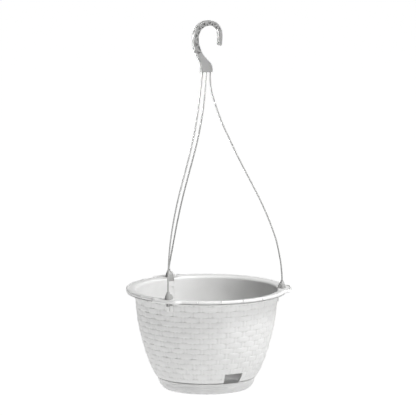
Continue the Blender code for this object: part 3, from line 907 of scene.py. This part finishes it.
def make_shell(mat):
    """The pot without its relief: lip, flare, wall, floor and skirt, three ears and the pads under them."""
    shell = turned_shell()
    boolean(shell, at_each_ear(make_ear), "UNION")
    boolean(shell, at_each_ear(make_pad), "UNION")
    boolean(shell, stop_ribs(), "UNION")
    boolean(shell, at_each_ear(make_level), "DIFFERENCE")
    boolean(shell, at_each_ear(make_ear_edge), "UNION")
    for make in (make_notch, make_slot, make_recess, make_groove):
        boolean(shell, at_each_ear(make), "DIFFERENCE")
    window = sector("window", WINDOW_RADII, WINDOW_HALF_ANGLE, WINDOW_LOW, WINDOW_TOP)
    boolean(shell, window, "DIFFERENCE")
    boolean(shell, drain_cutter(), "DIFFERENCE")
    dressed(shell, mat, 32.0)
    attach(shell, "basket")
    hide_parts("pot")


def weave_columns():
    """Column angles, closer at the stakes; one column lies on each side of the window."""
    pitch = 360.0 / STAKES
    angles = np.array([FIRST_STAKE + pitch * (k + o) for k in range(STAKES) for o in COLUMN_OFFSETS])
    edges = []
    for side in (-1, 1):
        edge = WINDOW_ANGLE + side * WINDOW_HALF_ANGLE
        nearest = int(np.abs(angles - edge).argmin())
        angles[nearest] = edge
        edges.append(nearest)
    return angles, edges


def weave_rows():
    """Row heights from the skirt's edge up, closer at the strips' edges; one lies on the window's top."""
    strips = int((TOP_ROW_Z - SKIRT_LOW) / ROW_H) + 2
    found = [TOP_ROW_Z + ROW_H * (o / 2 - j) for j in range(-1, strips) for o in ROW_OFFSETS]
    heights = np.array(sorted(z for z in found if SKIRT_LOW + 0.25 < z < WEAVE_TOP - 0.25))
    heights = np.concatenate([[SKIRT_LOW], heights, [WEAVE_TOP]])
    nearest = int(np.abs(heights - WINDOW_TOP).argmin())
    heights[nearest] = WINDOW_TOP
    return heights, nearest


def scatter(a, b):
    """A repeatable value from -1 to 1 for a pair of whole numbers."""
    x = np.sin(a * 12.9898 + b * 78.233) * 43758.5453
    return 2.0 * (x - np.floor(x)) - 1.0


def relief_depth(angles, heights):
    """How far the surface lies below the outermost strips, rows by columns, in millimetres."""
    place = (angles[None, :] - FIRST_STAKE) / (360.0 / STAKES)
    row = np.rint((TOP_ROW_Z - heights[:, None]) / ROW_H)
    across = (heights[:, None] - (TOP_ROW_Z - row * ROW_H)) / (ROW_H / 2)
    phase = np.mod(place + row, 2.0)
    away = np.minimum(phase, 2.0 - phase)
    strip = np.floor((place + row) / 2.0)
    bow = BOW[0] * (1.0 - ease(*BOW[1:], away))
    dive = DIVE[0] * (1.0 - ease(*DIVE[1:], away))
    crown = CROWN * np.abs(across) ** 2 + WORN_EDGE[0] * ease(*WORN_EDGE[1:], np.abs(across))
    tilt = TILT * scatter(strip, row) * across + SINK * (1.0 + scatter(row, strip + 7.0))
    weaver = bow + dive + crown + tilt
    stake = STAKE_LEVEL + STAKE_CROWN * (away / STAKE_HALF) ** 2 + STAKE_HOLLOW * across**2
    stake = np.where(away <= STAKE_HALF * 1.001, stake, RELIEF)
    return np.clip(np.minimum(weaver, stake), 0.0, RELIEF)


def make_weave(mat):
    """The woven relief round the pot, as one closed skin with its opening at the window."""
    angles, (left, right) = weave_columns()
    heights, sill = weave_rows()
    depth = relief_depth(angles, heights)
    outer_r = wall_radius(heights)[:, None] - depth
    back_z = np.concatenate([[SKIRT_LOW], [WINDOW_TOP], np.linspace(SKIN_BACK_FROM, WEAVE_TOP, 9)])
    back_r = np.repeat((wall_radius(back_z) - BACKING - SKIN_OVERLAP)[:, None], len(angles), axis=1)
    turn = np.radians(angles)[None, :]

    def placed(radii, levels):
        levels = np.repeat(levels[:, None], len(angles), axis=1)
        return np.stack([radii * np.cos(turn), radii * np.sin(turn), levels], axis=2).reshape(-1, 3) * MM

    points = np.concatenate([placed(outer_r, heights), placed(back_r, back_z)])
    front = np.arange(outer_r.size).reshape(outer_r.shape)
    back = np.arange(back_r.size).reshape(back_r.shape) + outer_r.size

    def quads(grid, opening_rows):
        beside = np.roll(grid, -1, axis=1)
        faces = np.stack([grid[:-1], beside[:-1], beside[1:], grid[1:]], axis=2)
        keep = np.ones(faces.shape[:2], bool)
        keep[:opening_rows, left:right] = False
        return faces[keep].tolist()

    def closing(a, b, columns):
        pairs = [(c, (c + 1) % len(a)) for c in columns]
        return [[int(a[c]), int(a[d]), int(b[d]), int(b[c])] for c, d in pairs]

    faces = quads(front, sill) + quads(back, 1)
    around = range(len(angles))
    faces += closing(front[-1], back[-1], around)
    faces += closing(front[0], back[0], [c for c in around if not left <= c < right])
    faces += closing(front[sill], back[1], range(left, right))
    for column in (left, right):
        faces.append([int(v) for v in (*front[: sill + 1, column], *back[1::-1, column])])
    mesh = bpy.data.meshes.new("pot_weave")
    mesh.from_pydata(points.tolist(), [], faces)
    values = np.concatenate([depth.ravel() / RELIEF, np.zeros(back_r.size)]).astype(np.float32)
    mesh.attributes.new("depth", "FLOAT", "POINT").data.foreach_set("value", values)
    bm = bmesh.new()
    bm.from_mesh(mesh)
    bmesh.ops.delete(bm, geom=[v for v in bm.verts if not v.link_faces], context="VERTS")
    bmesh.ops.recalc_face_normals(bm, faces=bm.faces)
    bm.to_mesh(mesh)
    bm.free()
    mesh.materials.append(mat)
    weave = shade(add_object("pot_weave", mesh), 62.0)
    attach(weave, "basket")
    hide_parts("pot")


# ---------------------------------------------------------------- saucer


def saucer_profile():
    """The dish's section: floor, inner wall and collar, then down the outside past the groove."""
    outside = [tuple(p) for p in smooth(SAUCER_LINE, 5)]
    inside = [(r - SAUCER_T, z) for r, z in outside if z > SAUCER_T + 1.0]
    outer_r = SAUCER_LINE[0][0]
    floor_r = SAUCER_LINE[-2][0] - SAUCER_T
    in_by, up_by = SAUCER_FLOOR_EDGE
    floor = [(0.0, SAUCER_T), (floor_r - in_by, SAUCER_T), (floor_r, SAUCER_T + up_by)]
    inside[0] = (inside[0][0], COLLAR_TOP - COLLAR_ROUND)
    outside[0] = (outside[0][0], COLLAR_TOP - COLLAR_ROUND)
    top = [(outer_r + across, COLLAR_TOP) for across in COLLAR_EDGE]

    low, high = GROOVE_SPAN
    groove_r = outer_r - GROOVE_DEPTH
    groove = [(outer_r, high), (groove_r, high), (groove_r, low), (outer_r, low)]
    outside = [outside[0], *groove, *[p for p in outside if p[1] < low - GROOVE_MARGIN]]
    back_r = groove_r - SAUCER_T
    back = [(back_r, high + STEP_RISE), (back_r, low - STEP_RISE)]
    above = [p for p in inside if p[1] > high + STEP_CLEARANCE]
    below = [p for p in inside if p[1] < low - STEP_CLEARANCE]
    return [*floor, *below[::-1], *back[::-1], *above[::-1], *top, *outside, (0.0, 0.0)]


def make_saucer(mat):
    """A smooth dish whose collar stands up inside the skirt, with a gap in it behind the window."""
    saucer = turned("saucer_dish", saucer_profile())
    gap = sector("collar_gap", COLLAR_GAP_RADII, COLLAR_GAP_HALF_ANGLE, COLLAR_GAP_LOW, COLLAR_TOP + OVER)
    boolean(saucer, gap, "DIFFERENCE")
    dressed(saucer, mat)
    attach(saucer, "saucer")
    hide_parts("saucer")


# ---------------------------------------------------------------- hook


def hook_across(at, share):
    """A point on the hook at a place along its lines, a share of the way from outer to inner edge."""
    i = min(int(at), len(HOOK_OUTER) - 2)
    t = at - i
    outer = Vector(HOOK_OUTER[i]).lerp(Vector(HOOK_OUTER[i + 1]), t)
    inner = Vector(HOOK_INNER[i]).lerp(Vector(HOOK_INNER[i + 1]), t)
    return outer.lerp(inner, share)


def hook_outline():
    """The hook's outline: up the outer edge, round the tip, and back down the inner edge."""
    centre = (Vector(HOOK_OUTER[-1]) + Vector(HOOK_INNER[-1])) / 2
    radius = (Vector(HOOK_OUTER[-1]) - centre).length
    turns = [-pi * n / HOOK_TIP_STEPS for n in range(1, HOOK_TIP_STEPS)]
    tip = [centre + radius * Vector((cos(a), sin(a))) for a in turns]
    return [tuple(p) for p in (*smooth(HOOK_OUTER, 6), *tip, *smooth(HOOK_INNER, 6)[::-1])]


def inset(corners, by):
    """A triangle drawn in from each of its sides by a distance."""
    a, b, c = corners
    sides = [(b - c).length, (c - a).length, (a - b).length]
    around = sum(sides)
    middle = (a * sides[0] + b * sides[1] + c * sides[2]) / around
    inradius = abs((b - a).cross(c - a)) / around
    keep = max(0.0, 1.0 - by / inradius)
    return [middle + (p - middle) * keep for p in corners]


def hook_pockets():
    """Prisms for the triangular pockets on both faces, left between an edge bead and zig-zag ribs."""
    step = (POCKETS_TO - POCKETS_FROM) / HOOK_TRIANGLES
    made = []
    for n in range(2 * HOOK_TRIANGLES - 1):
        start = POCKETS_FROM + n * step / 2
        near, far = (0.0, 1.0) if n % 2 == 0 else (1.0, 0.0)
        places = ((start, near), (start + step, near), (start + step / 2, far))
        corners = inset([hook_across(at, share) for at, share in places], POCKET_INSET)
        for side in (-1, 1):
            prism = outline("pocket", [tuple(p) for p in corners], POCKET_DEPTH)
            prism.rotation_euler = (radians(90.0), 0.0, 0.0)
            prism.location = (0.0, side * HOOK_T / 2 * MM, 0.0)
            made.append(to_mesh(prism))
    return joined(made)


def make_hook(mat):
    """The flat hook with its pockets, and a socket and throat for each strand, open to the back."""
    flat = outline("hook_body", hook_outline(), HOOK_T / 2, HOOK_ROUND)
    flat.rotation_euler = (radians(90.0), 0.0, 0.0)
    hook = to_mesh(flat)
    boolean(hook, hook_pockets(), "DIFFERENCE")
    back = HOOK_T / 2 + OVER
    cuts = (
        ("socket", SOCKET_HALF_W, -SOCKET_HALF_W, SOCKET_FLOOR, SOCKET_TOP),
        ("throat", STRAND_R + GAP, THROAT_FRONT, HOOK_LOW - OVER, SOCKET_FLOOR + 1.0),
    )
    for x in SOCKET_XS:
        for name, half, front, low, high in cuts:
            cutter = block(name, (x - half, front, low), (x + half, back, high))
            boolean(hook, cutter, "DIFFERENCE")
    dressed(hook, mat)
    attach(hook, "hanger")
    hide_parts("hook")


# ---------------------------------------------------------------- clips


def clip_leg(side):
    """One of a clip's two legs, with its barb under the ear."""
    section = [
        (side * LEG_IN, LEG_TOP),
        (side * LEG_IN, LEG_LOW),
        (side * (LEG_OUT - LEG_TAPER), LEG_LOW),
        (side * LEG_OUT, BARB_LOW),
        (side * BARB_OUT, BARB_TOP - BARB_T),
        (side * BARB_OUT, BARB_TOP),
        (side * LEG_OUT, BARB_TOP),
        (side * LEG_OUT, LEG_TOP),
    ]
    return about_z(upright("leg", section, LEG_HALF_D), 90.0)


def make_clip(name, ear_angle, mat):
    """A bell over the slot, bored for the strand, with a tongue down inside the rim and two barbed legs."""
    bell = [tuple(p) for p in smooth(BELL_LINE, 4)]
    wider, lower = CLIP_BORE_CHAMFER
    lip = [(CLIP_BORE_R, BELL_TOP - lower), (CLIP_BORE_R + wider, BELL_TOP)]
    profile = [(0.0, CLIP_BORE_LOW), (CLIP_BORE_R, CLIP_BORE_LOW), *lip, *bell, (0.0, GAP)]
    clip = turned(f"clip_{name}_bell", profile, steps=48)
    section = [*[tuple(p) for p in smooth(TONGUE_BACK, 3)], *TONGUE_FRONT]
    tongue = upright("tongue", section, TONGUE_HALF_W)
    boolean(clip, rounded(tongue, TONGUE_ROUND, 3, 40.0), "UNION")
    for side in (-1, 1):
        boolean(clip, joined([clip_leg(side)]), "UNION")
    boolean(clip, drum("bore", CLIP_BORE_R, CLIP_BORE_LOW + 0.4, BELL_TOP + OVER), "DIFFERENCE")
    to_ear = Matrix.Rotation(radians(ear_angle), 4, "Z") @ Matrix.Translation((CLIP_R * MM, 0, EAR_TOP * MM))
    clip.data.transform(to_ear)
    dressed(clip, mat)
    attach(clip, "basket")
    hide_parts(f"clip_{name}")


# ---------------------------------------------------------------- stage


def towards(azimuth, elevation):
    """The direction from the middle to a place; azimuth 0 is the front, and it grows to the right."""
    a, e = radians(azimuth), radians(elevation)
    return Vector((sin(a) * cos(e), -cos(a) * cos(e), sin(e)))


def make_camera():
    a = radians(VIEW_AZIMUTH)
    back = towards(VIEW_AZIMUTH, VIEW_ELEVATION)
    aim = Vector((cos(a), sin(a), 0.0)) * AIM_RIGHT + Vector((0.0, 0.0, AIM_Z))
    data = bpy.data.cameras.new("camera")
    data.sensor_width = SENSOR
    data.lens = SENSOR * VIEW_DISTANCE / VIEW_WIDTH
    data.clip_start = 0.1
    data.clip_end = 200.0
    camera = add_object("camera", data)
    camera.location = aim + back * VIEW_DISTANCE
    camera.rotation_euler = (-back).to_track_quat("-Z", "Y").to_euler()
    bpy.context.scene.camera = camera


def softbox(name, azimuth, elevation, size, power, distance=LIGHT_DISTANCE, height=LIGHT_AIM_Z):
    """A round soft light that faces the middle at a height; azimuth from the camera's."""
    away = towards(VIEW_AZIMUTH + azimuth, elevation)
    data = bpy.data.lights.new(name, "AREA")
    data.shape = "DISK"
    data.size = size
    data.energy = power
    light = add_object(name, data)
    light.location = Vector((0.0, 0.0, height)) + away * distance
    light.rotation_euler = (-away).to_track_quat("-Z", "Y").to_euler()
    return light


def make_floor():
    """A wide pale floor below the object that glows more the further out it is."""
    floor = drum("floor", FLOOR_R / MM, FLOOR_Z / MM - 10.0, FLOOR_Z / MM, 96)
    mat, tree, shader = nodes_of("pale_floor", 0.9, 0.0)
    shader.inputs["Base Color"].default_value = (0.85, 0.85, 0.85, 1.0)
    shader.inputs["Emission Color"].default_value = (1.0, 1.0, 1.0, 1.0)
    reach = tree.nodes.new("ShaderNodeVectorMath")
    reach.operation = "LENGTH"
    tree.links.new(tree.nodes.new("ShaderNodeTexCoord").outputs["Object"], reach.inputs[0])
    glow = tree.nodes.new("ShaderNodeMapRange")
    glow.interpolation_type = "SMOOTHSTEP"
    glow.inputs["From Min"].default_value = FLOOR_GLOW_FROM
    glow.inputs["From Max"].default_value = FLOOR_GLOW_TO
    glow.inputs["To Min"].default_value = FLOOR_NEAR
    glow.inputs["To Max"].default_value = FLOOR_FAR
    tree.links.new(reach.outputs["Value"], glow.inputs["Value"])
    tree.links.new(glow.outputs["Result"], shader.inputs["Emission Strength"])
    floor.data.materials.append(mat)


def make_stage():
    scene = bpy.context.scene
    scene.view_settings.view_transform = "Standard"
    world = bpy.data.worlds.new("studio")
    world.use_nodes = True
    scene.world = world
    world.node_tree.nodes["Background"].inputs["Color"].default_value = (SKY, SKY, SKY, 1.0)
    for light in SOFTBOXES:
        softbox(*light)
    hook_light = softbox(*HOOK_LIGHT, HOOK_LIGHT_DISTANCE, HOOK_BOX[1].z * MM)
    hook_light.data.spread = radians(HOOK_LIGHT_SPREAD)
    make_floor()


def main():
    make_camera()
    hanger = moulded_plastic("hanger_plastic", *HANGER_LOOK)
    grey = moulded_plastic("hook_plastic", *HOOK_LOOK)
    for name, socket_x, ear_angle, route in STRANDS:
        make_strand(name, socket_x, ear_angle, route, hanger)
    bowl = moulded_plastic("bowl_plastic", *BOWL_LOOK)
    woven = woven_plastic("woven_plastic", *WEAVE_LOOK)
    dish = moulded_plastic("saucer_plastic", *SAUCER_LOOK, soak=SAUCER_SOAK)
    make_shell(bowl)
    make_weave(woven)
    make_saucer(dish)
    make_hook(grey)
    for name, _, ear_angle, _ in STRANDS:
        make_clip(name, ear_angle, hanger)
    make_stage()


main()
